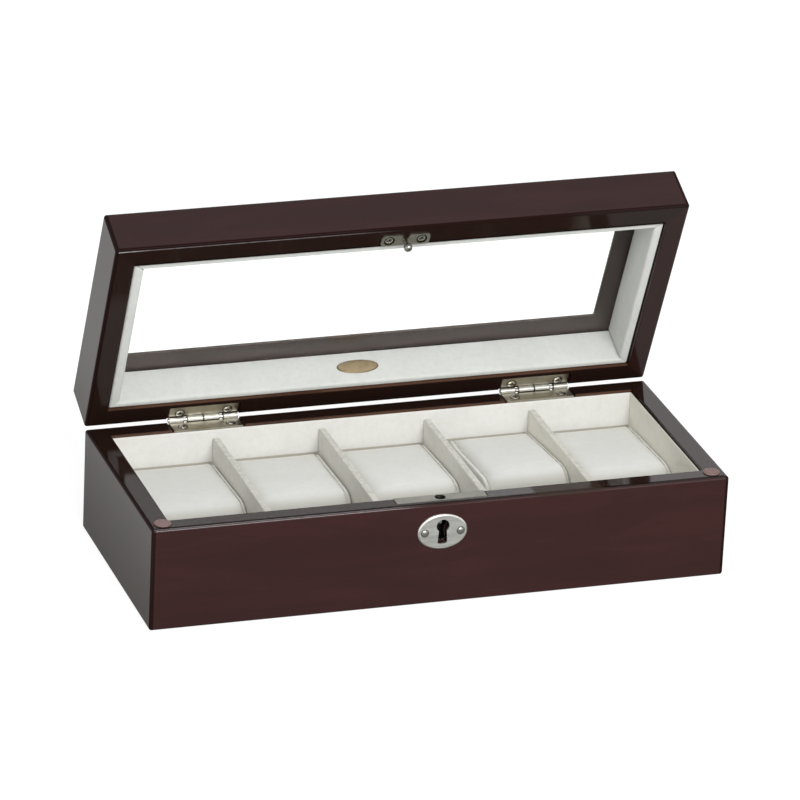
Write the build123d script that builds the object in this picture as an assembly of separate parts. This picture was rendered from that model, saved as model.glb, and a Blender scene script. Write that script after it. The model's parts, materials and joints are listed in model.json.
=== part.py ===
from build123d import *
import os

# Glass-topped display box for five watches: a mitred wooden base with velvet compartments and pillows,
# and a hinged, glazed lid with a lock. Millimetres, +Z up, origin at the middle of the underside, front at -Y.

# ---- box -------------------------------------------------------------------------------------------------
length = 311.0  # along X
depth = 130.0  # along Y
base_height = 56.0
lid_height = 27.0
closed_gap = 1.0  # between the two rims when the lid rests on its pads
open_angle = 67.0  # lid position at rest, in degrees from closed
wall = 11.6
edge_radius = 1.5  # outer edges
rim_radius = 1.2  # inner edge of both rims

# ---- bottom ----------------------------------------------------------------------------------------------
felt_thickness = 1.0
panel_thickness = 3.0
panel_rebate = 5.0  # how far the bottom panel reaches into the walls
panel_clearance = 0.2
floor_pad_thickness = 1.2

# ---- base lining -----------------------------------------------------------------------------------------
base_liner_thickness = 2.4
base_liner_proud = 0.4  # the rest of its thickness is sunk into the walls
base_liner_drop = 1.3  # below the rim
compartments = 5
divider_thickness = 4.0
divider_drop = 5.8  # below the rim

# ---- pillows ---------------------------------------------------------------------------------------------
pillow_depth = 72.0
pillow_height = 33.0
pillow_radius = 8.0  # long edges
pillow_corner = 3.0  # end edges
pillow_side_clearance = 0.5
pillow_rear_clearance = 0.4
pillow_floor_clearance = 0.3

# ---- lid frame and lining --------------------------------------------------------------------------------
lid_front_extra = 1.2  # the lid's front wall, which takes the striker, is this much thicker
rail_width = 26.0
rail_thickness = 7.0
rail_lip = 1.9  # thickness of the rail over the glass
window_radius = 0.8
glass_thickness = 1.5
glass_clearance = 0.5
lid_liner_thickness = 3.7
lid_liner_drop = 1.0  # inside the rim

# ---- hinges ----------------------------------------------------------------------------------------------
hinge_inset = 63.5  # from the end of the box to the middle of a hinge
hinge_shift = 0.7  # both hinges, towards +X
hinge_length = 37.4
leaf_thickness = 0.9
leaf_recess = 0.3  # leaf face below the rim
lid_leaf_reach = 8.5  # from the pin's axis
end_knuckle = 7.9
pin_gap = 2.1  # bare pin between the end knuckles and the middle ones
middle_seam = 0.4
pin_radius = 1.0
pin_overhang = 0.4
knuckle_clearance = 0.05  # lid knuckles turn on the pin
barrel_clearance = 0.3
mortise_end_gap = 1.2
base_screw_inset = 7.4  # from the rear face
lid_screw_inset = 4.2
hinge_screw_spread = 26.0

# ---- screws ----------------------------------------------------------------------------------------------
screw_head_radius = 2.3
screw_shank_radius = 1.0
screw_length = 8.0
screw_dome = 0.6
striker_screw_dome = 0.35
screw_recess_width = 0.6
screw_recess_depth = 0.8
screw_recess_share = 1.3  # recess length over head radius

# ---- lock ------------------------------------------------------------------------------------------------
lock_front = 4.6  # wood in front of the lock
lock_length = 40.0
lock_drop = 26.0  # case height under its face plate
lock_sheet = 0.7
lock_depth = 5.8  # inside the sheet front, up to the cap
lock_cap_thickness = 0.4
lock_clearance = 0.15
face_length = 48.6
face_thickness = 1.2
face_width = 7.1
stud_hole_radius = 2.9
stud_inset = 8.5  # stud axis from the front face
bolt_travel = 4.2
bolt_left = 15.5
bolt_right = 12.0
bolt_drop = 23.0
bolt_bar = 2.2  # height of the frame under the key's sweep
bolt_sheet = 1.1
bolt_gap = 0.2
key_sweep_radius = 5.2
spring_sheet = 0.4
spring_width = 1.2
spring_span = 24.0
spring_clearance = 0.3

# ---- keyhole and escutcheon ------------------------------------------------------------------------------
keyhole_offset = -1.0  # from the middle of the front
keyhole_drop = 11.9  # from the rim to the round part
keyhole_radius = 3.5
keyslot_drop = 10.0  # from the round part's middle to the slot's end
keyslot_top_width = 3.8
keyslot_end_width = 5.4
keyslot_end_radius = 1.2
keyhole_clearance = 0.5  # around the escutcheon's hole, in the wood behind it
drill_pin_radius = 0.95
drill_pin_setback = 4.0  # from the front face
escutcheon_width = 26.6
escutcheon_height = 19.2
escutcheon_thickness = 1.2
escutcheon_bevel = 0.6
escutcheon_drop = 15.35
escutcheon_pin_spread = 19.3
escutcheon_pin_head = 1.6
escutcheon_pin_radius = 0.6
escutcheon_pin_dome = 0.5
escutcheon_pin_length = 4.0

# ---- striker ---------------------------------------------------------------------------------------------
striker_length = 26.3
striker_width = 7.2
striker_clearance = 0.2  # over the lock's face plate when closed
striker_inset = 4.3  # from the front face
striker_screw_spread = 17.6
striker_corner = 1.9
striker_notch_width = 3.4
striker_notch_depth = 3.1
striker_shoulder = 1.2
stud_ball_radius = 2.3
stud_neck_radius = 1.3
stud_reach = 5.8  # from the lid's rim to the middle of the ball
stud_tail = 6.0

# ---- small parts -----------------------------------------------------------------------------------------
bumper_radius = 4.5
bumper_clearance = 0.1  # under the lid's rim when closed
bumper_inset = 7.4  # from both outer faces
label_width = 23.0
label_height = 9.5
label_thickness = 0.5
label_bevel = 0.3
label_offset = -5.0
label_rise = 12.4  # from the lid's rim

# ---- worked out from the sizes above ---------------------------------------------------------------------
SIDES = ("front", "rear", "left", "right")
half_length = length / 2
half_depth = depth / 2
hinge_places = [hinge_shift + sign * (half_length - hinge_inset) for sign in (-1, 1)]
panel_top = felt_thickness + panel_thickness
floor_top = panel_top + floor_pad_thickness
liner_seat = wall + base_liner_proud - base_liner_thickness
cell_inset = wall + base_liner_proud
lid_rim = base_height + closed_gap
lid_top = lid_rim + lid_height
rail_bottom = lid_top - rail_thickness
glass_top = lid_top - rail_lip
glass_bottom = glass_top - glass_thickness
axis_y = half_depth
axis_z = base_height + closed_gap / 2
barrel_radius = closed_gap / 2 + leaf_recess + leaf_thickness
striker_thickness = closed_gap - striker_clearance
bumper_height = closed_gap - bumper_clearance
mortise_depth = leaf_recess + leaf_thickness
lock_y = lock_front - half_depth
cap_y = lock_y + lock_sheet + lock_depth
stud_y = stud_inset - half_depth
face_bottom = base_height - face_thickness
case_bottom = face_bottom - lock_drop
keyhole_z = base_height - keyhole_drop
hinge_axis = Axis((0, axis_y, axis_z), (1, 0, 0))

parts = {}


# ---- helpers ---------------------------------------------------------------------------------------------
def block(x0, x1, y0, y1, z0, z1):
    """A box between two corners."""
    return Pos((x0 + x1) / 2, (y0 + y1) / 2, (z0 + z1) / 2) * Box(x1 - x0, y1 - y0, z1 - z0)


def plan_block(inset, z0, z1):
    """A box with its sides a given distance inside the outer faces."""
    return block(inset - half_length, half_length - inset, inset - half_depth, half_depth - inset, z0, z1)


def lid_block(inset, z0, z1):
    """The same for the lid's inside, whose front is further in."""
    front = inset + lid_front_extra - half_depth
    return block(inset - half_length, half_length - inset, front, half_depth - inset, z0, z1)


def x_cylinder(radius, x0, x1, y, z):
    return Pos((x0 + x1) / 2, y, z) * Rot(0, 90, 0) * Cylinder(radius, x1 - x0)


def y_cylinder(radius, x, y0, y1, z):
    return Pos(x, (y0 + y1) / 2, z) * Rot(90, 0, 0) * Cylinder(radius, y1 - y0)


def z_cylinder(radius, x, y, z0, z1):
    return Pos(x, y, (z0 + z1) / 2) * Cylinder(radius, z1 - z0)


def inner_loop(shape, inset, z):
    """The edges at one height that lie on or inside a rectangle set in from the outer faces."""
    reach_x = half_length - inset + 0.01
    reach_y = half_depth - inset + 0.01
    level = shape.edges().filter_by(lambda e: abs(e.center().Z - z) < 0.01)
    return level.filter_by(lambda e: abs(e.center().X) < reach_x and abs(e.center().Y) < reach_y)


def mitre_zone(side, z0, z1):
    """The plan area that belongs to one side of a frame with 45 degree corners."""
    x = half_length + 1
    y = half_depth + 1
    outlines = {
        "front": [(-x, -y), (x, -y), (x - y, 0), (y - x, 0)],
        "rear": [(-x, y), (y - x, 0), (x - y, 0), (x, y)],
        "left": [(-x, -y), (y - x, 0), (-x, y)],
        "right": [(x, -y), (x, y), (x - y, 0)],
    }
    face = make_face(Polyline(*outlines[side], close=True))
    return Pos(0, 0, z0) * extrude(face, z1 - z0)


def mitred(ring, z0, z1, name):
    """Cut a ring into its four sides, each a node of its own."""
    for side in SIDES:
        parts[name.format(side)] = (ring & mitre_zone(side, z0, z1)).solid()


def screw(length_under_head, head_radius, shank_radius, dome):
    """A domed countersunk screw pointing down, with the top of its cone at Z = 0."""
    cone = head_radius - shank_radius
    arc = ThreePointArc((0, dome), (head_radius / 2, dome * 0.75), (head_radius, 0))
    rest = Polyline(
        (head_radius, 0),
        (shank_radius, -cone),
        (shank_radius, shank_radius - length_under_head),
        (0, -length_under_head),
        (0, dome),
    )
    return revolve(Rot(90, 0, 0) * make_face([arc, rest]), Axis.Z)


def cross_recess(head_radius, dome):
    reach = head_radius * screw_recess_share
    bar = Box(reach, screw_recess_width, screw_recess_depth)
    return Pos(0, 0, dome - screw_recess_depth / 2) * (bar + Rot(0, 0, 90) * bar)


def keyhole(offset, y0, y1):
    """A round hole over a slot that widens towards its end, right through in Y."""
    top = keyslot_top_width / 2 + offset
    end = keyslot_end_width / 2 + offset
    low = -keyslot_drop - offset
    flare = make_face(Polyline((-top, 0), (top, 0), (end, low), (-end, low), close=True))
    flare = fillet(flare.vertices().sort_by(Axis.Y)[:2], keyslot_end_radius + offset)
    face = Circle(keyhole_radius + offset) + flare
    # the sketch plane is turned so that its Y runs up Z and it is extruded towards +Y
    return Pos(keyhole_offset, y0, keyhole_z) * Rot(90, 0, 0) * extrude(face, y0 - y1)


def oval_plate(width, height, thickness, bevel):
    """An oval plate on the XZ plane, facing -Y, with its back at Y = 0."""
    plate = extrude(Ellipse(width / 2, height / 2), thickness)
    rim = plate.edges().sort_by(Axis.Z)[-1]
    return Rot(90, 0, 0) * chamfer(rim, bevel)


# ---- base ------------------------------------------------------------------------------------------------
def base_ring():
    outer = plan_block(0, 0, base_height)
    outer = fillet(outer.edges(), edge_radius)
    ring = outer - plan_block(wall, -1, base_height + 1)
    ring = fillet(inner_loop(ring, wall, base_height), rim_radius)
    ring -= plan_block(liner_seat, panel_top, base_height - base_liner_drop)
    return ring - plan_block(wall - panel_rebate, -1, panel_top)


def lock_mortise():
    """Room for the lock, open to the inside of the box, and the keyhole in front of it."""
    inside = wall - half_depth + 1
    reach = lock_length / 2 + lock_clearance
    case = block(-reach, reach, lock_y, inside, case_bottom - lock_clearance, base_height + 1)
    reach = face_length / 2 + lock_clearance
    face = block(-reach, reach, lock_y - lock_clearance, inside, face_bottom, base_height + 1)
    return case + face + keyhole(keyhole_clearance, -half_depth - 1, lock_y + 1)


def hinge_mortise(x, rim, direction, reach):
    """Leaf and barrel room in a rear wall. direction is -1 down into the base, +1 up into the lid."""
    end = hinge_length / 2 + mortise_end_gap
    low, high = sorted((rim - direction, rim + direction * mortise_depth))
    leaf = block(x - end, x + end, axis_y - reach, half_depth + 1, low, high)
    low, high = sorted((rim - direction, rim + direction * (mortise_depth + barrel_clearance)))
    groove = block(x - end, x + end, axis_y - barrel_radius - barrel_clearance, half_depth + 1, low, high)
    return leaf + groove


mitred(base_ring(), -1, base_height + 1, "base_{}_wall")
parts["base_front_wall"] -= lock_mortise()
for x in hinge_places:
    parts["base_rear_wall"] -= hinge_mortise(x, base_height, -1, wall + 1)

parts["base_bottom_panel"] = plan_block(wall - panel_rebate + panel_clearance, felt_thickness, panel_top)
parts["underside_felt"] = plan_block(wall - panel_rebate + panel_clearance, 0, felt_thickness)
parts["base_floor_pad"] = plan_block(cell_inset, panel_top, floor_top)

liner_ring = plan_block(liner_seat, panel_top, base_height - base_liner_drop)
liner_ring -= plan_block(cell_inset, panel_top - 1, base_height)
mitred(liner_ring, panel_top, base_height, "base_{}_liner")
lock_reach = lock_length / 2 + 2 * lock_clearance
parts["base_front_liner"] -= block(
    -lock_reach,
    lock_reach,
    lock_y,
    cap_y + lock_cap_thickness + lock_clearance,
    case_bottom - 2 * lock_clearance,
    base_height,
)

inner_length = length - 2 * cell_inset
cell_width = (inner_length - (compartments - 1) * divider_thickness) / compartments
cell_pitch = cell_width + divider_thickness
for i in range(1, compartments):
    x = i * cell_pitch - divider_thickness - inner_length / 2
    parts[f"divider_{i}"] = block(
        x,
        x + divider_thickness,
        cell_inset - half_depth,
        half_depth - cell_inset,
        floor_top,
        base_height - divider_drop,
    )

for side, sign in (("left", -1), ("right", 1)):
    pad_x = sign * (half_length - bumper_inset)
    pad_y = bumper_inset - half_depth
    parts[f"bumper_pad_{side}"] = z_cylinder(bumper_radius, pad_x, pad_y, base_height, base_height + bumper_height)


# ---- pillows ---------------------------------------------------------------------------------------------
def pillow():
    """Rounded block, its long edges along X, with its rear face at Y = 0 and its underside at Z = 0."""
    half = cell_width / 2 - pillow_side_clearance
    body = block(-half, half, -pillow_depth, 0, 0, pillow_height)
    body = fillet(body.edges().filter_by(Axis.X), pillow_radius)
    ends = body.faces().filter_by(Axis.X)
    return fillet(ends[0].edges() + ends[1].edges(), pillow_corner)


for i in range(compartments):
    x = (i - (compartments - 1) / 2) * cell_pitch
    y = half_depth - cell_inset - pillow_rear_clearance
    parts[f"cushion_{i + 1}"] = Pos(x, y, floor_top + pillow_floor_clearance) * pillow()


# ---- lock ------------------------------------------------------------------------------------------------
def lock_case():
    """An open tray of folded sheet, its mouth towards the inside of the box."""
    half = lock_length / 2
    tray = block(-half, half, lock_y, cap_y, case_bottom, face_bottom)
    hollow = block(
        lock_sheet - half,
        half - lock_sheet,
        lock_y + lock_sheet,
        cap_y + 1,
        case_bottom + lock_sheet,
        face_bottom + 1,
    )
    return tray - hollow - keyhole(lock_clearance, lock_y - 1, lock_y + lock_sheet + 1)


def lock_bolt():
    """A fork that slides round the stud's neck, on a frame that the key's bit pushes along from inside."""
    top = face_bottom - bolt_gap
    low = top - bolt_drop
    web_y = lock_y + lock_sheet + lock_clearance
    web_back = web_y + bolt_sheet
    plate_y = cap_y - 2 * lock_clearance
    fork_end = -stud_ball_radius - 2 * bolt_gap
    half_slot = stud_neck_radius + bolt_gap
    bolt = block(-bolt_left, fork_end, web_y, plate_y, top - bolt_sheet, top)
    bolt -= block(-bolt_travel, fork_end + 1, stud_y - half_slot, stud_y + half_slot, low, top + 1)
    bolt -= z_cylinder(half_slot, -bolt_travel, stud_y, low, top + 1)
    # the frame stays below the stud's ball, and hangs from the fork on the left
    frame_top = lid_rim - stud_reach - stud_ball_radius - 2 * bolt_gap
    bolt += block(-bolt_left, bolt_right, web_y, web_back, low, frame_top)
    bolt += block(-bolt_left, fork_end - bolt_travel, web_y, web_back, low, top)
    bolt -= y_cylinder(key_sweep_radius, keyhole_offset, web_y - 1, web_back + 1, keyhole_z)
    sweep_left = keyhole_offset - key_sweep_radius - bolt_travel
    sweep_right = keyhole_offset + key_sweep_radius
    return bolt - block(sweep_left, sweep_right, web_y - 1, web_back + 1, low + bolt_bar, keyhole_z)


def bow_spring():
    """A bowed strip on the floor of the case, its crown just under the bolt's web."""
    floor = case_bottom + lock_sheet
    rise = face_bottom - bolt_gap - bolt_drop - spring_clearance - floor
    half = spring_span / 2
    outer = ThreePointArc((-half, 0), (0, rise), (half, 0))
    inner = ThreePointArc((half - spring_sheet, 0), (0, rise - spring_sheet), (spring_sheet - half, 0))
    ends = [Line((half, 0), (half - spring_sheet, 0)), Line((spring_sheet - half, 0), (-half, 0))]
    strip = extrude(Rot(90, 0, 0) * make_face([outer, ends[0], inner, ends[1]]), spring_width / 2, both=True)
    return Pos(0, lock_y + lock_sheet + spring_width, floor) * strip


face_plate = block(-face_length / 2, face_length / 2, lock_y, lock_y + face_width, face_bottom, base_height)
face_plate -= z_cylinder(stud_hole_radius, 0, stud_y, face_bottom - 1, base_height + 1)
parts["lock_face_plate"] = face_plate
parts["lock_case"] = lock_case()
parts["lock_cap"] = block(
    -lock_length / 2, lock_length / 2, cap_y, cap_y + lock_cap_thickness, case_bottom, face_bottom
)
parts["lock_bolt"] = lock_bolt()
parts["lock_spring"] = bow_spring()
parts["lock_drill_pin"] = y_cylinder(
    drill_pin_radius, keyhole_offset, drill_pin_setback - half_depth, cap_y, keyhole_z
)

# ---- escutcheon ------------------------------------------------------------------------------------------
escutcheon_z = base_height - escutcheon_drop
escutcheon = oval_plate(escutcheon_width, escutcheon_height, escutcheon_thickness, escutcheon_bevel)
escutcheon = Pos(keyhole_offset, -half_depth, escutcheon_z) * escutcheon
escutcheon -= keyhole(0, -half_depth - 2 * escutcheon_thickness, 1 - half_depth)
escutcheon_pins = []
for sign in (-1, 1):
    length_in = escutcheon_thickness + escutcheon_pin_length
    pin = screw(length_in, escutcheon_pin_head, escutcheon_pin_radius, escutcheon_pin_dome)
    x = keyhole_offset + sign * escutcheon_pin_spread / 2
    pin = Pos(x, -half_depth - escutcheon_thickness, escutcheon_z) * Rot(90, 0, 0) * pin
    escutcheon -= pin
    parts["base_front_wall"] -= pin
    escutcheon_pins.append(pin.solid())
parts["escutcheon_plate"] = escutcheon
parts["escutcheon_pins"] = Compound(children=escutcheon_pins)


# ---- lid -------------------------------------------------------------------------------------------------
def lid_ring():
    outer = plan_block(0, lid_rim, lid_top)
    outer = fillet(outer.edges(), edge_radius)
    ring = outer - lid_block(wall, lid_rim - 1, glass_top) - plan_block(rail_width, lid_rim, lid_top + 1)
    ring = fillet(inner_loop(ring, wall, lid_rim), rim_radius)
    return fillet(inner_loop(ring, rail_width, lid_top), window_radius)


lid_frame = lid_ring()
mitred(lid_frame, lid_rim - 1, rail_bottom, "lid_{}_wall")
mitred(lid_frame, rail_bottom, lid_top + 1, "lid_{}_rail")
for x in hinge_places:
    parts["lid_rear_wall"] -= hinge_mortise(x, lid_rim, 1, lid_leaf_reach + leaf_recess)
parts["glass_pane"] = lid_block(wall + glass_clearance, glass_bottom, glass_top)

liner_ring = lid_block(wall, lid_rim + lid_liner_drop, glass_bottom)
liner_ring -= lid_block(wall + lid_liner_thickness, lid_rim, glass_bottom + 1)
mitred(liner_ring, lid_rim, glass_bottom + 1, "lid_{}_liner")

label = oval_plate(label_width, label_height, label_thickness, label_bevel)
label_y = half_depth - wall - lid_liner_thickness
parts["label_plate"] = Pos(label_offset, label_y, lid_rim + label_rise) * label


# ---- striker ---------------------------------------------------------------------------------------------
def striker_plate():
    """A plate with rounded corners, and a notch with rounded shoulders in its front edge."""
    half = striker_width / 2
    face = RectangleRounded(striker_length, striker_width, striker_corner)
    end = striker_notch_width / 2
    face -= Pos(0, -half) * SlotOverall(2 * striker_notch_depth, striker_notch_width, rotation=90)
    shoulders = face.vertices().filter_by(lambda v: abs(v.Y + half) < 0.01 and abs(v.X) < end + 0.01)
    face = fillet(shoulders, striker_shoulder)
    return Pos(0, striker_inset - half_depth + half, lid_rim) * extrude(face, -striker_thickness)


def striker_stud():
    """A ball on a neck under the plate, with a tail that is driven into the lid."""
    ball = Pos(0, 0, -stud_reach) * Sphere(stud_ball_radius)
    neck = z_cylinder(stud_neck_radius, 0, 0, -stud_reach, stud_tail)
    return Pos(0, stud_y, lid_rim) * (ball + neck)


parts["striker_stud"] = striker_stud()
parts["striker_plate"] = striker_plate() - parts["striker_stud"]
parts["lid_front_wall"] -= parts["striker_stud"]
striker_screws = []
for sign in (-1, 1):
    x = sign * striker_screw_spread / 2
    y = striker_inset + striker_width / 2 - half_depth
    # sunk by its dome, so that nothing stands out of the plate
    place = Pos(x, y, lid_rim - striker_thickness + striker_screw_dome) * Rot(180, 0, 0)
    body = place * screw(screw_length, screw_head_radius, screw_shank_radius, striker_screw_dome)
    parts["striker_plate"] -= body + place * z_cylinder(screw_head_radius, 0, 0, 0, striker_screw_dome)
    parts["lid_front_wall"] -= body
    striker_screws.append((body - place * cross_recess(screw_head_radius, striker_screw_dome)).solid())
parts["striker_screws"] = Compound(children=striker_screws)


# ---- hinges ----------------------------------------------------------------------------------------------
def hinge_leaf(x, spans, z0, reach, bore):
    """A flat leaf with its knuckles, one for each span of X, wrapped round the pin's axis."""
    edge = axis_y - barrel_radius - barrel_clearance
    leaf = block(x - hinge_length / 2, x + hinge_length / 2, axis_y - reach, edge, z0, z0 + leaf_thickness)
    for start, stop in spans:
        leaf += block(start, stop, edge, axis_y, z0, z0 + leaf_thickness)
        leaf += x_cylinder(barrel_radius, start, stop, axis_y, axis_z)
    return leaf - x_cylinder(bore, x - hinge_length, x + hinge_length, axis_y, axis_z)


def hinge_screws(x, inset, turn, z):
    """Two screws, and the same two as plain bodies to cut their holes with."""
    bodies = []
    screws = []
    for sign in (-1, 1):
        place = Pos(x + sign * hinge_screw_spread / 2, half_depth - inset, z) * Rot(turn, 0, 0)
        body = place * screw(screw_length, screw_head_radius, screw_shank_radius, screw_dome)
        bodies.append(body)
        screws.append((body - place * cross_recess(screw_head_radius, screw_dome)).solid())
    return bodies, screws


base_screws = []
lid_screws = []
for side, x in zip(("left", "right"), hinge_places):
    half = hinge_length / 2
    end_spans = [(x - half, x - half + end_knuckle), (x + half - end_knuckle, x + half)]
    start = half - end_knuckle - pin_gap
    middle_spans = [(x - start, x - middle_seam / 2), (x + middle_seam / 2, x + start)]

    leaf_z = base_height - mortise_depth
    base_leaf = hinge_leaf(x, end_spans, leaf_z, wall, pin_radius)
    bodies, screws = hinge_screws(x, base_screw_inset, 0, leaf_z + leaf_thickness)
    for body in bodies:
        base_leaf -= body
        parts["base_rear_wall"] -= body
        parts["base_rear_liner"] -= body
    base_screws += screws

    leaf_z = lid_rim + leaf_recess
    lid_leaf = hinge_leaf(x, middle_spans, leaf_z, lid_leaf_reach, pin_radius + knuckle_clearance)
    bodies, screws = hinge_screws(x, lid_screw_inset, 180, leaf_z)
    for body in bodies:
        lid_leaf -= body
        parts["lid_rear_wall"] -= body
    lid_screws += screws

    parts[f"{side}_hinge_base_leaf"] = base_leaf
    parts[f"{side}_hinge_lid_leaf"] = lid_leaf
    parts[f"{side}_hinge_pin"] = x_cylinder(
        pin_radius, x - half - pin_overhang, x + half + pin_overhang, axis_y, axis_z
    )
parts["hinge_base_screws"] = Compound(children=base_screws)
parts["hinge_lid_screws"] = Compound(children=lid_screws)

# ---- the lid at rest, swung open on its hinges -------------------------------------------------------------
for name in parts:
    swings = name.startswith(("lid_", "striker_")) or "_lid_" in name
    if swings or name in ("glass_pane", "label_plate"):
        parts[name] = parts[name].rotate(hinge_axis, -open_angle)

os.makedirs("parts", exist_ok=True)
for name, shape in parts.items():
    export_step(shape, f"parts/{name}.step")
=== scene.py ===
import json
import math

import bpy
import numpy as np
from mathutils import Matrix, Vector, noise

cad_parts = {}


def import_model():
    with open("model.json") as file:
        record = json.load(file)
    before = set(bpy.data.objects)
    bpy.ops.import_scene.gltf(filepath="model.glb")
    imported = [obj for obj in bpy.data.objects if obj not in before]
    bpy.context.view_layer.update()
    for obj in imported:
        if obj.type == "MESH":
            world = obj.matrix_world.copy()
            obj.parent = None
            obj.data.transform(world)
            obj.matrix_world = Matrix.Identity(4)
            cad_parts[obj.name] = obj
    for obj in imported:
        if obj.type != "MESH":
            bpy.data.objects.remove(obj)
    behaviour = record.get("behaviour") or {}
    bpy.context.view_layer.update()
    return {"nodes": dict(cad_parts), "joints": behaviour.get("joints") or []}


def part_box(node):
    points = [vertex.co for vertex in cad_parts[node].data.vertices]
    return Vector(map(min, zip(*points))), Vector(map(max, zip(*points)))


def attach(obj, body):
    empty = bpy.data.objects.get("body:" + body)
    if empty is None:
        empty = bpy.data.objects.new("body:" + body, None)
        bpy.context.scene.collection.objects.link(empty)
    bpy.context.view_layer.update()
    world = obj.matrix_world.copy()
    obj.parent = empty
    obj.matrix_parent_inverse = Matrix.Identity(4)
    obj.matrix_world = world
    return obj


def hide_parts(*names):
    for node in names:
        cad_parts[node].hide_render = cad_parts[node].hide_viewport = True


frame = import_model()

# The looks of a watch display box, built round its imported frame. Metres, in the frame's own axes: X runs
# from left to right, Y from front to back and Z upwards.

MM = 0.001
nodes = frame["nodes"]

# ---- camera --------------------------------------------------------
# found together with the box's proportions, from the perspective of the photograph
CAMERA_PLACE = (-0.93178, -2.69026, 1.31844)
CAMERA_AZIMUTH = -19.013  # degrees, as the next two are
CAMERA_ELEVATION = 23.410
CAMERA_ROLL = 2.730
CAMERA_LENS = 269.29  # millimetres, as the sensor's width is
CAMERA_SENSOR = 36.0
CAMERA_REACH = 20.0


def camera():
    data = bpy.data.cameras.new("camera")
    data.lens = CAMERA_LENS
    data.sensor_width = CAMERA_SENSOR
    data.clip_end = CAMERA_REACH
    cam = bpy.data.objects.new("camera", data)
    bpy.context.scene.collection.objects.link(cam)
    az = math.radians(CAMERA_AZIMUTH)
    el = math.radians(CAMERA_ELEVATION)
    roll = math.radians(CAMERA_ROLL)
    back = Vector((math.sin(az) * math.cos(el), -math.cos(az) * math.cos(el), math.sin(el)))
    right = Vector((0, 0, 1)).cross(back).normalized()
    up = back.cross(right)
    turned_right = right * math.cos(roll) + up * math.sin(roll)
    turned_up = up * math.cos(roll) - right * math.sin(roll)
    turn = Matrix((turned_right, turned_up, back)).transposed().to_4x4()
    cam.matrix_world = Matrix.Translation(CAMERA_PLACE) @ turn
    bpy.context.scene.camera = cam


camera()

# ---- places worked out from the frame ------------------------------
HINGE = next(j for j in frame["joints"] if j["name"] == "lid_hinge")
HINGE_AT = Vector(HINGE["pos_m"])
OPEN = -math.radians(HINGE["range_deg"][0])  # from closed to where the lid stands
SWING = Matrix.Translation(HINGE_AT) @ Matrix.Rotation(-OPEN, 4, "X") @ Matrix.Translation(-HINGE_AT)
HALF_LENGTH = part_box("base_front_wall")[1].x
HALF_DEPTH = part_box("base_rear_wall")[1].y
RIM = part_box("base_front_wall")[1].z
RIMS_MEET = RIM + 0.5 * MM  # half way up the gap between the rims of the shut box
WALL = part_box("base_front_wall")[1].y + HALF_DEPTH  # how thick the walls are
PILLOWS = [f"cushion_{i}" for i in range(1, 6)]


def points(node):
    return np.array([v.co for v in nodes[node].data.vertices], float)


def moved(co, matrix):
    m = np.array(matrix)
    return co @ m[:3, :3].T + m[:3, 3]


def closed_box(node):
    """The corners of a lid node with the lid shut."""
    co = moved(points(node), SWING.inverted())
    return Vector(co.min(0)), Vector(co.max(0))


LID_TOP = closed_box("lid_front_rail")[1].z

# ---- how each pillow sits, from left to right ----------------------
CREEP = (0.0, 1.5 * MM, 2.5 * MM, 7.3 * MM, 1.5 * MM)  # the left end pushed inwards
SKEW = (0.0, 0.0, 0.0, 1.7 * MM, 0.0)  # and this much further at its back
WIDEN = (1.1 * MM, 0.3 * MM, 1.0 * MM, 2.1 * MM, 1.1 * MM)  # the right seam moved outwards
SPARE = (0.5 * MM, 0.3 * MM, 0.5 * MM, 0.9 * MM, 0.5 * MM)  # how much of that moves the right end too
SINK = (0.8 * MM, 1.2 * MM, 1.6 * MM, 2.0 * MM, 1.4 * MM)  # a valley beside the left seam
RAISE = (-0.4 * MM, -0.2 * MM, -0.3 * MM, 0.3 * MM, -0.9 * MM)  # the whole top moved up
LIFT = (3.1 * MM, 1.8 * MM, 3.2 * MM, 6.5 * MM, 3.2 * MM)  # and this much more at its front
FORWARD = (1.5 * MM, -2.5 * MM, 1.0 * MM, 4.5 * MM, 4.0 * MM)  # its front moved towards the base's front
SHADED = (0.08, 0.10, 0.05, 0.02, 0.0)  # painted shade: how much darker each pillow is painted all over
RUN = 60 * MM  # from the back to where the lift is full
VALLEY = 5.0 * MM  # how far the valley reaches
VALLEY_AT_BACK = 0.15  # the share of its depth it has at the back, and how fast that grows to the front
VALLEY_GROWS = 3
INNER_END = 20 * MM  # what moves with one end fades out this far from the other


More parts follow.
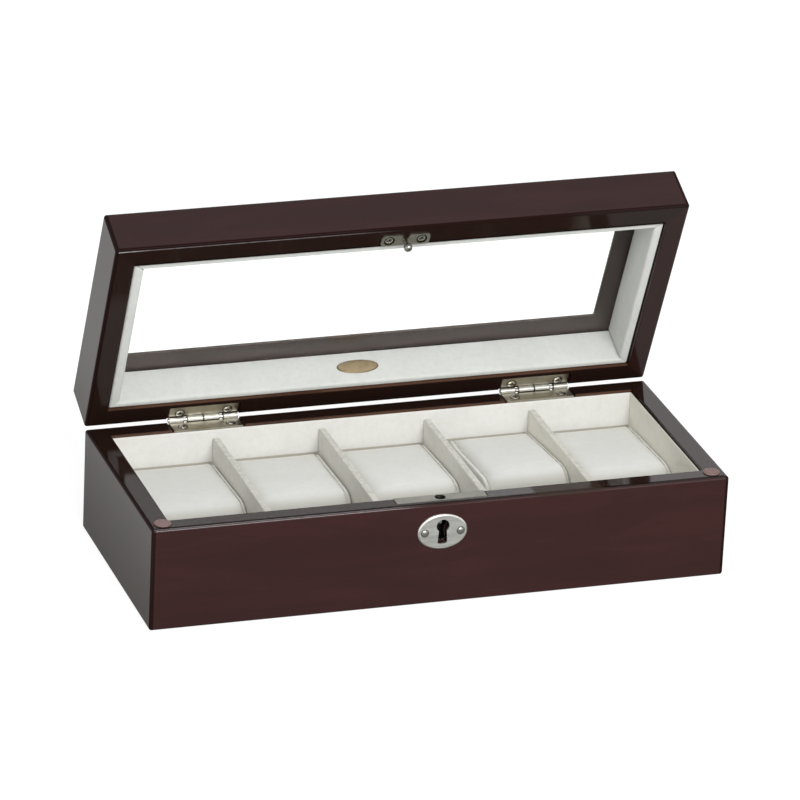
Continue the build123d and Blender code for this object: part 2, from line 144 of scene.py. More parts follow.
# ---- node helpers --------------------------------------------------
class Nodes:
    """Short calls that add nodes to a tree. A value is a number, a colour or a socket to link."""

    FAR = 10.0

    def __init__(self, tree):
        self.tree = tree

    def node(self, kind, **values):
        made = self.tree.nodes.new("ShaderNode" + kind)
        for key, value in values.items():
            setattr(made, key, value)
        return made

    def link(self, source, target):
        self.tree.links.new(source, target)

    def feed(self, socket, value):
        if isinstance(value, bpy.types.NodeSocket):
            self.link(value, socket)
        elif isinstance(value, tuple) and len(socket.default_value) == 4:
            socket.default_value = (*value, 1)
        else:
            socket.default_value = value

    def math(self, operation, a, b=0.0):
        made = self.node("Math", operation=operation)
        for socket, value in zip(made.inputs, (a, b)):
            self.feed(socket, value)
        return made.outputs[0]

    def times(self, value, *others):
        for other in others:
            value = self.math("MULTIPLY", value, other)
        return value

    def most(self, value, *others):
        """The greatest of the values."""
        for other in others:
            value = self.math("MAXIMUM", value, other)
        return value

    def mix(self, factor, a, b):
        """Colour a, turning into colour b as the factor grows."""
        made = self.node("Mix", data_type="RGBA")
        self.feed(made.inputs["Factor"], factor)
        self.feed(made.inputs[6], a)
        self.feed(made.inputs[7], b)
        return made.outputs[2]

    def ramp(self, value, low, high, to_low=0.0, to_high=1.0):
        """Value from low to high becomes to_low to to_high, smoothly."""
        made = self.node("MapRange", interpolation_type="SMOOTHSTEP")
        for socket, v in zip(made.inputs, (value, low, high, to_low, to_high)):
            self.feed(socket, v)
        return made.outputs[0]

    def band(self, value, low, high, soft):
        """One between low and high, nothing beyond them."""
        return self.times(self.ramp(value, low - soft, low), self.ramp(value, high + soft, high))

    def split(self, at):
        """The three coordinates of a point."""
        made = self.node("SeparateXYZ")
        self.link(at, made.inputs[0])
        return made.outputs["X"], made.outputs["Y"], made.outputs["Z"]

    def scaled(self, at, scale):
        made = self.node("Mapping")
        made.inputs["Scale"].default_value = scale
        self.link(at, made.inputs["Vector"])
        return made.outputs["Vector"]

    def noise(self, at, scale, detail=3.0, roughness=0.5, distortion=0.0):
        made = self.node("TexNoise")
        self.link(at, made.inputs["Vector"])
        made.inputs["Scale"].default_value = scale
        made.inputs["Detail"].default_value = detail
        made.inputs["Roughness"].default_value = roughness
        made.inputs["Distortion"].default_value = distortion
        return made.outputs["Fac"]

    def distance(self, at, centres, flat):
        """How far the point is from the nearest centre, measured in the plane that flat keeps."""
        nearest = self.FAR
        for centre in centres:
            away = self.node("VectorMath", operation="SUBTRACT")
            self.link(at, away.inputs[0])
            away.inputs[1].default_value = centre
            level = self.node("VectorMath", operation="MULTIPLY")
            self.link(away.outputs["Vector"], level.inputs[0])
            level.inputs[1].default_value = flat
            length = self.node("VectorMath", operation="LENGTH")
            self.link(level.outputs["Vector"], length.inputs[0])
            nearest = self.math("MINIMUM", length.outputs["Value"], nearest)
        return nearest

    def bump(self, height, distance, strength, onto=None):
        made = self.node("Bump")
        made.inputs["Strength"].default_value = strength
        made.inputs["Distance"].default_value = distance
        self.link(height, made.inputs["Height"])
        if onto is not None:
            self.link(onto, made.inputs["Normal"])
        return made.outputs["Normal"]


class Shader(Nodes):
    """A new material with its surface and output."""

    SOCKETS = {"ior": "IOR", "coat_ior": "Coat IOR", "specular_ior_level": "Specular IOR Level"}

    def __init__(self, name):
        self.material = bpy.data.materials.new(name)
        self.material.use_nodes = True
        super().__init__(self.material.node_tree)
        self.surface = self.tree.nodes["Principled BSDF"]
        self.output = self.tree.nodes["Material Output"]

    def dress(self, **values):
        """Links or sets sockets of the surface: coat_weight is Coat Weight."""
        for key, value in values.items():
            socket = self.SOCKETS.get(key, key.replace("_", " ").title())
            self.feed(self.surface.inputs[socket], value)
        return self.material

    def place(self, shut=False):
        """The point on the piece, with the lid swung shut if asked."""
        at = self.node("TexCoord").outputs["Object"]
        if not shut:
            return at
        turn = self.node("VectorRotate", rotation_type="X_AXIS")
        turn.inputs["Center"].default_value = HINGE_AT
        turn.inputs["Angle"].default_value = OPEN
        self.link(at, turn.inputs["Vector"])
        return turn.outputs["Vector"]


# ---- wood ----------------------------------------------------------
WOOD_DARK = (0.031, 0.0096, 0.0092)
WOOD_MID = (0.0395, 0.0117, 0.0111)
WOOD_LIGHT = (0.058, 0.0170, 0.0135)
WOOD_RIM = (0.018, 0.0095, 0.0068)  # the rims are browner
WOOD_WORN_AND_GLINT = (0.088, 0.043, 0.028)  # worn thin stain with a painted highlight of the round edge, on the inner edges of the rear walls
WOOD_INNER_SHADE = (0.008, 0.005, 0.004)  # painted shade on the inner edges of the other walls
WOOD_EDGE_SHADE = (0.010, 0.005, 0.004)  # painted shade and dark reflections on the round outer edges, also laid thinly over the whole lid
WOOD_DARK_REFLECTION = (0.040, 0.026, 0.020)  # a painted dark reflection on a stretch of the base's front rim
WOOD_RAIL_LIT = (0.180, 0.140, 0.125)  # the rails' undersides, painted lighter for the light the glass over them reflects
WOOD_GLINT = (0.55, 0.52, 0.53)  # a painted highlight along each front edge
# where that painted highlight is, and the painted dark band beside it, measured in from the front face, for
# the lid or not
GLINT = {True: (1.25 * MM, 1.60 * MM), False: (0.70 * MM, 1.05 * MM)}
GLINT_SHADE = {True: (-1.0 * MM, 1.00 * MM), False: (1.30 * MM, 2.60 * MM)}
GLINT_STRENGTH = 0.30
LID_END_GLINT = 0.90  # the lid's line is stronger at its left end
LEFT_END = (20 * MM - HALF_LENGTH, 5 * MM - HALF_LENGTH)  # along X, as the next two are
EDGE_FADES = (5 * MM, -45 * MM)  # where the painted highlights, and most painted dark edges, go from none to full
DARK_REFLECTION_SPAN = (52 * MM, 84 * MM)  # the stretch with the painted dark reflection
RIM_BROWNED = 0.9  # how far the rims turn brown, and the lid's right one
LID_RIGHT_BROWNED = 0.3
RAIL_SHOWN = 0.8
EDGE_DARKENED = 0.7
# painted shade: the lid's wood is darkened all over by this much
LID_DARKENED = 0.2
COAT_IOR = 1.50
RIM_IOR = 1.65  # the rims reflect more
LID_FACE_GLOSS = 0.94
BASE_RIM_GLOSS = {"front": 0.48, "left": 0.42, "right": 0.68, "rear": 0.40}
LID_RIM_GLOSS = {"front": 0.11, "left": 0.31, "right": 0.95, "rear": 0.05}
# both front rims are glossier on their right: how glossy, and where along X that starts and is full
BASE_FRONT_RIGHT = 0.78
LID_FRONT_RIGHT = 0.92
BASE_GLOSS_FROM = (-5 * MM, 25 * MM)
LID_GLOSS_FROM = (84 * MM, 100 * MM)


class Spot:
    """Where a point is on the shut box: its coordinates, how far it is inside the outer faces, and how near
    the rims."""

    def __init__(self, s, at):
        self.x, self.y, self.z = s.split(at)
        self.inset_x = s.math("SUBTRACT", HALF_LENGTH, s.math("ABSOLUTE", self.x))
        self.inset_y = s.math("SUBTRACT", HALF_DEPTH, s.math("ABSOLUTE", self.y))
        self.inset = s.math("MINIMUM", self.inset_x, self.inset_y)
        self.from_rim = s.math("ABSOLUTE", s.math("SUBTRACT", self.z, RIMS_MEET))
        self.near_rim = s.ramp(self.from_rim, 2.2 * MM, 1.2 * MM)
        self.front_edge = s.ramp(self.from_rim, 2.3 * MM, 1.9 * MM)
        self.left_half = s.ramp(self.x, *EDGE_FADES)


def along_grain(side, along, across):
    """A scale that draws noise out along a wall."""
    return (along, across, across) if side in ("front", "rear") else (across, along, across)


def wood_grain(s, at, side):
    """The wood's own colour, its figure and its pores."""
    figure = s.noise(s.scaled(at, along_grain(side, 1, 7)), 9.0, detail=4.0, roughness=0.6, distortion=0.7)
    clouds = s.noise(at, 11.0, detail=2.0)
    flecks = s.noise(s.scaled(at, along_grain(side, 2, 42)), 30.0, detail=3.0, roughness=0.6)
    pores = s.noise(s.scaled(at, along_grain(side, 4, 98)), 12.0, detail=2.0)
    colour = s.mix(s.ramp(figure, 0.35, 0.68), WOOD_DARK, WOOD_MID)
    colour = s.mix(s.ramp(clouds, 0.50, 0.75, 0.0, 0.16), colour, WOOD_LIGHT)
    colour = s.mix(s.ramp(flecks, 0.60, 0.80, 0.0, 0.45), colour, WOOD_LIGHT)
    colour = s.mix(s.ramp(pores, 0.62, 0.76, 0.0, 0.55), colour, WOOD_DARK)
    return colour, figure, pores


def beside_lock(s, spot):
    """The narrow gap at both ends of the lock's face plate."""
    low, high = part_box("lock_face_plate")
    beyond = s.math("SUBTRACT", s.math("ABSOLUTE", spot.x), (high.x - low.x) / 2)
    gaps = s.band(beyond, -0.1 * MM, 0.5 * MM, 0.2 * MM)
    return s.times(gaps, s.band(spot.y, low.y, high.y, 0.2 * MM), spot.near_rim)


def outer_edge(s, spot, side, shut):
    """Painted shade and dark reflections: beside the painted highlight of a front edge, on the left half of
    the others, at the corners and in the gaps beside the lock."""
    if side == "front":
        edge = s.times(s.band(spot.inset, *GLINT_SHADE[shut], 0.3 * MM), spot.front_edge)
    else:
        edge = s.times(s.ramp(spot.inset, 1.7 * MM, 1.2 * MM), s.ramp(spot.from_rim, 1.5 * MM, 1.0 * MM))
        edge = s.times(edge, spot.left_half)
    corner = s.ramp(s.most(spot.inset_x, spot.inset_y), 1.8 * MM, 1.2 * MM)
    edge = s.most(edge, corner)
    if side == "front" and not shut:
        edge = s.most(edge, beside_lock(s, spot))
    return edge


def glint_line(s, at, spot, shut):
    """A painted highlight: a broken bright line along the left half of a front edge."""
    glint_breaks = s.noise(s.scaled(at, (1, 0.1, 0.1)), 160.0, detail=3.0, roughness=0.7)
    strong = s.ramp(spot.x, *LEFT_END, GLINT_STRENGTH, LID_END_GLINT if shut else GLINT_STRENGTH)
    line = s.band(spot.inset, *GLINT[shut], 0.2 * MM)
    return s.times(line, spot.front_edge, spot.left_half, strong, s.ramp(glint_breaks, 0.35, 0.65, 0.55, 1.0))


def rim_gloss(s, spot, side, shut):
    """How glossy the lacquer is on a rim."""
    gloss = LID_RIM_GLOSS[side] if shut else BASE_RIM_GLOSS[side]
    if side != "front":
        return gloss
    if shut:
        return s.ramp(spot.x, *LID_GLOSS_FROM, gloss, LID_FRONT_RIGHT)
    return s.ramp(spot.x, *BASE_GLOSS_FROM, gloss, BASE_FRONT_RIGHT)


def mahogany(name, side, shut):
    """Red-brown wood under clear gloss lacquer, with its grain along the wall. A piece of the lid is painted
    as it lies when shut."""
    s = Shader(name)
    at = s.place(shut)
    spot = Spot(s, at)
    colour, figure, pores = wood_grain(s, at, side)
    rim = s.times(s.ramp(spot.inset, 0.3 * MM, 1.0 * MM), spot.near_rim)
    browned = LID_RIGHT_BROWNED if shut and side == "right" else RIM_BROWNED
    colour = s.mix(s.times(rim, browned), colour, WOOD_RIM)
    # the rails' undersides lie inside the walls, well away from the rims and below the lid's outer top: there
    # the wood is painted lighter, for the light the glass over them reflects
    deep = s.times(s.ramp(spot.inset, WALL, WALL + 0.5 * MM), s.ramp(spot.from_rim, 12 * MM, 16 * MM))
    deep = s.times(deep, s.ramp(spot.z, LID_TOP - 0.3 * MM, LID_TOP - 0.8 * MM))
    colour = s.mix(s.times(deep, RAIL_SHOWN), colour, WOOD_RAIL_LIT)
    # painted shade and dark reflections along the outer edges
    edge = outer_edge(s, spot, side, shut)
    colour = s.mix(s.times(edge, EDGE_DARKENED), colour, WOOD_EDGE_SHADE)
    # painted shade: the lid's wood is darker all over
    if shut:
        colour = s.mix(LID_DARKENED, colour, WOOD_EDGE_SHADE)
    # a painted highlight along the front edge
    if side == "front":
        colour = s.mix(glint_line(s, at, spot, shut), colour, WOOD_GLINT)
    # the inner edges: worn stain with a painted highlight on the rear walls, painted shade on the others
    inner = s.ramp(spot.inset, WALL - 0.9 * MM, WALL - 0.4 * MM)
    inner = s.times(inner, s.ramp(spot.from_rim, 6 * MM, 4 * MM))
    if side == "rear":
        wear = s.noise(s.scaled(at, along_grain(side, 1, 7)), 26.0, detail=3.0)
        colour = s.mix(s.times(inner, s.ramp(wear, 0.3, 0.6, 0.45, 1.0)), colour, WOOD_WORN_AND_GLINT)
    else:
        colour = s.mix(inner, colour, WOOD_INNER_SHADE)
    face_gloss = LID_FACE_GLOSS if shut else 1.0
    gloss = s.ramp(spot.near_rim, 0.0, 1.0, face_gloss, rim_gloss(s, spot, side, shut))
    gloss = s.times(gloss, s.ramp(inner, 0.0, 1.0, 1.0, 0.15), s.ramp(edge, 0.0, 1.0, 1.0, 0.2))
    # a painted dark reflection on a stretch of the base's front rim, where the lacquer is also less glossy
    if side == "front" and not shut:
        dull = s.times(s.band(spot.x, *DARK_REFLECTION_SPAN, 5 * MM), spot.near_rim)
        gloss = s.times(gloss, s.ramp(dull, 0.0, 1.0, 1.0, 0.32))
        colour = s.mix(dull, colour, WOOD_DARK_REFLECTION)
    ripple = s.noise(at, 60.0, detail=2.0)
    return s.dress(
        base_color=colour,
        roughness=s.ramp(figure, 0.3, 0.7, 0.35, 0.45),
        specular_ior_level=0.0,
        normal=s.bump(pores, 0.03 * MM, 0.5),
        coat_weight=gloss,
        coat_roughness=s.ramp(rim, 0.0, 1.0, 0.035, 0.075),
        coat_ior=s.ramp(spot.near_rim, 0.0, 1.0, COAT_IOR, RIM_IOR),
        coat_normal=s.bump(ripple, 0.03 * MM, 0.35),
    )


# ---- cloth ---------------------------------------------------------
# each pair is a colour and its shade
LINING = ((0.790, 0.780, 0.752), (0.695, 0.685, 0.640))
# painted shade: a yellower copy of the lining for the dividers, whose faces lie in shade
DIVIDER = ((0.790, 0.772, 0.715), (0.695, 0.675, 0.600))
RIGHT_VELVET = ((0.850, 0.828, 0.745), (0.750, 0.726, 0.630))  # painted light: a lighter copy for divider 4 and the right liner, whose faces turn from the lamp
LID_LINING = ((0.680, 0.688, 0.660), (0.580, 0.588, 0.555))
PILLOW = ((0.815, 0.820, 0.790), (0.735, 0.740, 0.705))
BUMPER_FELT = ((0.180, 0.116, 0.107), (0.330, 0.222, 0.206))
BLACK_FELT = ((0.012, 0.012, 0.014), (0.045, 0.045, 0.050))
STITCH = (0.46, 0.43, 0.37)
# painted shade on the pillows
PILLOW_SHADE_COLOUR = (0.42, 0.412, 0.372)
DARKER_TOP_NAP = (0.50, 0.49, 0.44)
# a painted contact shadow on the rear liner where each pillow touches it
CONTACT_SHADOW_COLOUR = (0.34, 0.30, 0.22)
CONTACT_SHADOW_HEIGHT = 4.0 * MM  # it reaches this far down, mostly out of sight behind the pillow
CONTACT_SHADOW_DROP = 2.0 * MM  # from the top of the pillow's box
CONTACT_SHADOW_SHOWN = 0.7


def velvet(name, colour, shade, shut=False, sewn=False, top=None, contact_shadow_lines=()):
    """Short-pile fabric: mottled nap, a soft sheen and fine fibres. A sewn piece has dark stitches and
    painted shade from an attribute of its points. Above the height top, the nap is darker in patches. Each
    contact, with its ends in X and its height, is a painted shadow line where a pillow touches the piece."""
    s = Shader(name)
    at = s.place(shut)
    x, _, z = s.split(at)
    nap = s.noise(at, 42.0, detail=4.0, roughness=0.6, distortion=0.8)
    specks = s.noise(at, 620.0, detail=2.0, roughness=0.7)
    tufts = s.noise(at, 260.0, detail=3.0, roughness=0.65, distortion=0.4)
    fibres = s.noise(at, 2600.0, detail=2.0, roughness=0.7)
    tint = s.mix(s.ramp(nap, 0.36, 0.66, 0.0, 0.30), colour, shade)
    tint = s.mix(s.ramp(tufts, 0.42, 0.66, 0.0, 0.32), tint, shade)
    tint = s.mix(s.ramp(specks, 0.45, 0.75, 0.0, 0.22), tint, shade)
    if sewn:
        # painted shade on the pillows, from an attribute of their points
        tint = s.mix(s.node("Attribute", attribute_name="pillow_shade").outputs["Fac"], tint, PILLOW_SHADE_COLOUR)
        line = s.node("Attribute", attribute_name="seam").outputs["Fac"]
        stitches = s.noise(at, 420.0, detail=1.0)
        tint = s.mix(s.times(line, s.ramp(stitches, 0.35, 0.60, 0.40, 0.90)), tint, STITCH)
    # painted contact shadows where the pillows touch
    for left, right, height in contact_shadow_lines:
        line = s.band(z, height - CONTACT_SHADOW_HEIGHT, height, 0.5 * MM)
        line = s.times(line, s.band(x, left, right, 1.0 * MM))
        tint = s.mix(s.times(line, CONTACT_SHADOW_SHOWN), tint, CONTACT_SHADOW_COLOUR)
    # darker on top, in patches
    if top is not None:
        rough = s.noise(at, 330.0, detail=3.0, roughness=0.7)
        on_top = s.ramp(z, top - 0.7 * MM, top - 0.3 * MM)
        tint = s.mix(s.times(on_top, s.ramp(rough, 0.35, 0.65, 0.35, 0.80)), tint, DARKER_TOP_NAP)
    pile = s.bump(fibres, 0.12 * MM, 0.55)
    return s.dress(
        base_color=tint,
        roughness=s.ramp(nap, 0.3, 0.7, 0.82, 0.95),
        normal=s.bump(specks, 0.10 * MM, 0.30, onto=pile),
        specular_ior_level=0.15,
        sheen_weight=0.22,
        sheen_roughness=0.45,
        sheen_tint=(1.0, 0.99, 0.96),
    )


def felt(name, colour, light):
    s = Shader(name)
    at = s.place()
    tufts = s.noise(at, 900.0, detail=4.0, roughness=0.7)
    clouds = s.noise(at, 120.0, detail=3.0)
    tint = s.mix(s.ramp(tufts, 0.35, 0.70, 0.0, 0.8), colour, light)
    return s.dress(
        base_color=s.mix(s.ramp(clouds, 0.4, 0.7, 0.0, 0.3), tint, light),
        roughness=s.ramp(tufts, 0.3, 0.7, 0.85, 1.0),
        normal=s.bump(tufts, 0.15 * MM, 0.7),
        specular_ior_level=0.1,
        sheen_weight=0.15,
        sheen_roughness=0.5,
    )


# ---- metal ---------------------------------------------------------
# each pair is a colour and its shade
GILT = ((0.40, 0.32, 0.195), (0.28, 0.215, 0.125))
HINGE_LEAF = ((0.50, 0.470, 0.390), (0.39, 0.360, 0.290))
SATIN = ((0.48, 0.47, 0.405), (0.39, 0.38, 0.325))
PALE = ((0.97, 0.96, 0.91), (0.85, 0.84, 0.79))
BRIGHT = ((0.66, 0.64, 0.58), (0.50, 0.48, 0.43))
PIN_NICKEL = ((0.52, 0.51, 0.47), (0.30, 0.29, 0.26))
FACE_PLATE = ((0.290, 0.282, 0.245), (0.235, 0.226, 0.195))
LOCK_STEEL = ((0.16, 0.16, 0.155), (0.10, 0.10, 0.095))
STUD_STEEL = ((0.36, 0.35, 0.32), (0.28, 0.27, 0.24))
DRILL_STEEL = ((0.42, 0.42, 0.40), (0.30, 0.30, 0.28))
GILT_EDGE = (0.10, 0.07, 0.04)
HINGE_KNUCKLE = (0.54, 0.535, 0.50)
# dark joints where knuckles meet, and painted shade round heads, under knuckles and in slots
DARK_JOINTS_AND_SHADE = (0.035, 0.030, 0.020)
# the scale that draws the brushed grain out along an axis
ALONG_X = (1, 12, 12)
ALONG_Y = (12, 1, 12)
GILT_BRUSH = (1, 14, 14)
PLATE_GRAIN = 0.12  # how strong the grain is on the plates, the screws and the hinges
# where the knuckles meet, measured in from the ends of a hinge
KNUCKLE_GAPS = ((10.1 * MM, 9.8 * MM), (8.1 * MM, 7.7 * MM))
HEADS_APART = 3 * MM


def brushed(name, colour, shade, rough, brush, shut=False, strength=0.15):
    """Plated metal with a fine brushed grain and a little dulling, its colour still to be linked."""
    s = Shader(name)
    at = s.place(shut)
    lines = s.noise(s.scaled(at, brush), 60.0, detail=3.0, roughness=0.6)
    dull = s.noise(at, 190.0, detail=4.0, roughness=0.6)
    tint = s.mix(s.ramp(dull, 0.40, 0.72, 0.0, 0.7), colour, shade)
    s.dress(
        metallic=1.0,
        roughness=s.ramp(lines, 0.3, 0.7, rough - 0.05, rough + 0.06),
        normal=s.bump(lines, 0.01 * MM, strength),
    )
    return s, at, tint


def metal(name, colours, rough, brush=ALONG_X, shut=False):
    """Brushed metal, all of it alike."""
    s, _, colour = brushed(name, *colours, rough, brush, shut=shut)
    return s.dress(base_color=colour)


def heads_of(node, shut=False):
    """The middles of a node's separate heads, which lie apart along X."""
    co = moved(points(node), SWING.inverted()) if shut else points(node)
    co = co[np.argsort(co[:, 0])]
    heads = np.split(co, np.nonzero(np.diff(co[:, 0]) > HEADS_APART)[0] + 1)
    return [tuple((h.min(0) + h.max(0)) / 2) for h in heads]


def hinge_leaf(name, side, shut, screws):
    """A satin leaf with brighter knuckles, dark lines where they meet, and painted shade under the knuckles
    and round its screws.
    """
    s, at, colour = brushed(name, *HINGE_LEAF, 0.34, ALONG_X, shut=shut, strength=PLATE_GRAIN)
    low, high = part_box(f"{side}_hinge_base_leaf")
    middle = ((low.x + high.x) / 2, HINGE_AT.y, HINGE_AT.z)
    from_pin = s.distance(at, [middle], (0, 1, 1))
    along = s.distance(at, [middle], (1, 0, 0))
    colour = s.mix(s.ramp(from_pin, 2.3 * MM, 2.0 * MM), colour, HINGE_KNUCKLE)
    end = (high.x - low.x) / 2
    gaps = s.ramp(along, 0.6 * MM, 0.3 * MM)
    for first, last in KNUCKLE_GAPS:
        gaps = s.most(gaps, s.band(along, end - first, end - last, 0.25 * MM))
    gaps = s.times(gaps, s.ramp(from_pin, 2.4 * MM, 2.1 * MM))
    under_knuckles = s.band(from_pin, 2.15 * MM, 2.45 * MM, 0.25 * MM)
    round_screws = s.band(s.distance(at, screws, (1, 1, 0)), 1.9 * MM, 2.65 * MM, 0.3 * MM)
    dark = s.most(gaps, under_knuckles, round_screws)
    return s.dress(base_color=s.mix(s.times(dark, 0.9), colour, DARK_JOINTS_AND_SHADE))


def plate(name, colours, rough, centres, reach, flat, shut=False, ring=1.0):
    """A satin plate with a painted shadow ring round each head."""
    s, at, colour = brushed(name, *colours, rough, ALONG_X, shut=shut, strength=PLATE_GRAIN)
    from_head = s.distance(at, centres, flat)
    line = s.times(s.band(from_head, reach - 0.35 * MM, reach + 0.35 * MM, 0.3 * MM), ring)
    return s.dress(base_color=s.mix(line, colour, DARK_JOINTS_AND_SHADE))


def screw(name, centres, shut):
    """A bright head with painted shade in its slots and round its rim."""
    s, at, colour = brushed(name, *BRIGHT, 0.22, ALONG_X, shut=shut, strength=PLATE_GRAIN)
    out = s.distance(at, centres, (1, 1, 0))
    slot_and_rim_shade = s.most(s.ramp(out, 1.5 * MM, 0.7 * MM, 0.0, 0.75), s.ramp(out, 2.0 * MM, 2.3 * MM, 0.0, 0.9))
    return s.dress(base_color=s.mix(slot_and_rim_shade, colour, DARK_JOINTS_AND_SHADE))


def label(name):
    """Antique gilt, darker round the edge of the oval."""
    s, at, colour = brushed(name, *GILT, 0.36, GILT_BRUSH, shut=True)
    low, high = closed_box("label_plate")
    half = (high - low) / 2
    out = s.distance(at, [(low + high) / 2], (1 / half.x, 0, 1 / half.z))
    return s.dress(base_color=s.mix(s.ramp(out, 0.88, 0.99, 0.0, 0.75), colour, GILT_EDGE))


# ---- board and glass -----------------------------------------------
CHIPS = ((0.22, 0.13, 0.075), (0.38, 0.25, 0.15))
GLASS = ((0.988, 0.995, 0.992), (0.995, 1.0, 0.998))
GLASS_IOR = 1.20  # less than real glass, for reflections as faint as the photograph's


def board(name):
    s = Shader(name)
    chips = s.noise(s.place(), 300.0, detail=4.0, roughness=0.7)
    return s.dress(
        base_color=s.mix(s.ramp(chips, 0.35, 0.70), *CHIPS),
        roughness=s.ramp(chips, 0.3, 0.7, 0.7, 0.85),
        normal=s.bump(chips, 0.05 * MM, 0.4),
    )


def glass(name):
    s = Shader(name)
    film = s.noise(s.place(shut=True), 25.0, detail=2.0)
    tint = s.mix(s.ramp(film, 0.3, 0.7), *GLASS)
    return s.dress(base_color=tint, roughness=0.0, transmission_weight=1.0, ior=GLASS_IOR)


# ---- the materials and the CAD nodes they go on --------------------
def paint(node, material):
    """The given material in every slot of a CAD node."""
    slots = nodes[node].data.materials
    if not slots:
        slots.append(material)
    for i in range(len(slots)):
        slots[i] = material


def contact_shadow_line(node, up):
    """A painted contact shadow where the top of a pillow, moved up, touches the rear liner: the ends in X,
    and the height.
    """
    low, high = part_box(node)
    return low.x, high.x, high.z + up - CONTACT_SHADOW_DROP


contact_shadow_lines = [contact_shadow_line(node, up) for node, up in zip(PILLOWS, RAISE)]
divider_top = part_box("divider_1")[1].z
lining = velvet("velvet_lining", *LINING)
right_lining = velvet("velvet_right_lining", *RIGHT_VELVET)
rear_lining = velvet("velvet_rear_lining", *LINING, contact_shadow_lines=contact_shadow_lines)
pillow_velvet = velvet("pillow_velvet", *PILLOW, sewn=True)
divider_velvet = velvet("velvet_dividers", *DIVIDER, top=divider_top)
right_divider_velvet = velvet("velvet_right_divider", *RIGHT_VELVET, top=divider_top)
lid_lining = velvet("velvet_lid_lining", *LID_LINING, shut=True)
pad_felt = felt("bumper_felt", *BUMPER_FELT)
black_felt = felt("underside_felt", *BLACK_FELT)
bright_nickel = metal("bright_nickel", BRIGHT, 0.22)
steel = metal("lock_steel", LOCK_STEEL, 0.36, ALONG_Y)

for side in ("front", "rear", "left", "right"):
    paint(f"base_{side}_wall", mahogany(f"mahogany_base_{side}", side, shut=False))
    lid_wood = mahogany(f"mahogany_lid_{side}", side, shut=True)
    paint(f"lid_{side}_wall", lid_wood)
    paint(f"lid_{side}_rail", lid_wood)
paint("base_bottom_panel", board("panel_board"))
paint("glass_pane", glass("clear_glass"))
paint("label_plate", label("gilt_brass"))

base_screws = heads_of("hinge_base_screws")
lid_screws = heads_of("hinge_lid_screws", shut=True)
for side in ("left", "right"):
    paint(f"{side}_hinge_base_leaf", hinge_leaf(f"{side}_base_leaf_nickel", side, False, base_screws))
    paint(f"{side}_hinge_lid_leaf", hinge_leaf(f"{side}_lid_leaf_nickel", side, True, lid_screws))
    paint(f"{side}_hinge_pin", bright_nickel)
paint("hinge_base_screws", screw("base_screw_nickel", base_screws, shut=False))
paint("hinge_lid_screws", screw("lid_screw_nickel", lid_screws, shut=True))

striker_screws = heads_of("striker_screws", shut=True)
paint("striker_screws", screw("striker_screw_nickel", striker_screws, shut=True))
paint("striker_plate", plate("striker_nickel", SATIN, 0.34, striker_screws, 2.4 * MM, (1, 1, 0), shut=True))
paint("striker_stud", metal("stud_steel", STUD_STEEL, 0.20, shut=True))

pins = heads_of("escutcheon_pins")
paint("escutcheon_plate", plate("escutcheon_nickel", PALE, 0.42, pins, 1.7 * MM, (1, 0, 1), ring=0.75))
paint("escutcheon_pins", metal("pin_nickel", PIN_NICKEL, 0.36))
paint("lock_face_plate", metal("face_plate_nickel", FACE_PLATE, 0.34))
for node in ("lock_case", "lock_cap", "lock_bolt", "lock_spring"):
    paint(node, steel)
paint("lock_drill_pin", metal("drill_pin_steel", DRILL_STEEL, 0.16))

# ---- soft boards ---------------------------------------------------
ROUND_STEPS = 4
MITRE_OVERLAP = 0.5 * MM  # closes the groove between the round ends of two boards
LOCK_CLEARANCE = 0.15 * MM
NUDGE = 0.5 * MM  # the right divider stands this much to the right
FULLER = 0.8 * MM  # the face of the lid's left liner stands out this much more, to hide the rail behind it
INWARD = {"front": (1, 1), "rear": (1, -1), "left": (0, 1), "right": (0, -1)}  # the axis and its sign


def ticks(low, high, radius, step):
    """Places along one side of a rounded box, close together round its edges."""
    arc = [radius * (1 - math.tan(math.pi / 4 * (1 - i / ROUND_STEPS))) for i in range(ROUND_STEPS)]
    count = max(1, round((high - low - 2 * radius) / step))
    middle = np.linspace(low + radius, high - radius, count + 1)
    return [low + a for a in arc] + list(middle) + [high - a for a in reversed(arc)]


def from_core(co, low, high, radius):
    """The nearest point to each in the box's core, and the direction out from it."""
    core = np.clip(co, np.array(low) + radius, np.array(high) - radius)
    out = co - core
    return core, out / np.maximum(np.linalg.norm(out, axis=1, keepdims=True), 1e-9)


def rounded_box(low, high, radius, step):
    """Points and faces of a box with round edges, as a fine grid."""
    axes = [ticks(low[i], high[i], radius, step) for i in range(3)]
    last = [len(a) - 1 for a in axes]
    index, co, faces = {}, [], []

    def corner(i, j, k):
        if (i, j, k) not in index:
            index[(i, j, k)] = len(co)
            co.append((axes[0][i], axes[1][j], axes[2][k]))
        return index[(i, j, k)]

    for fixed in range(3):
        a, b = [n for n in range(3) if n != fixed]
        for end in (0, last[fixed]):
            for i in range(last[a]):
                for j in range(last[b]):
                    loop = []
                    for di, dj in ((0, 0), (1, 0), (1, 1), (0, 1)):
                        at = [0, 0, 0]
                        at[fixed], at[a], at[b] = end, i + di, j + dj
                        loop.append(corner(*at))
                    flip = (end == 0) == (fixed != 1)
                    faces.append(loop[::-1] if flip else loop)
    core, out = from_core(np.array(co), low, high, radius)
    return core + radius * out, faces


def to_object(name, co, faces, material):
    mesh = bpy.data.meshes.new(name)
    mesh.from_pydata([tuple(p) for p in co], [], faces)
    mesh.validate()
    mesh.materials.append(material)
    mesh.shade_smooth()
    made = bpy.data.objects.new(name, mesh)
    bpy.context.scene.collection.objects.link(made)
    return made


def waviness(co, size, seed):
    """A smooth number from -1 to 1 for each point."""
    shift = Vector((seed * 1.7, seed * 0.9, seed * 2.3))
    return np.array([noise.noise(Vector(p) / size + shift) for p in co])


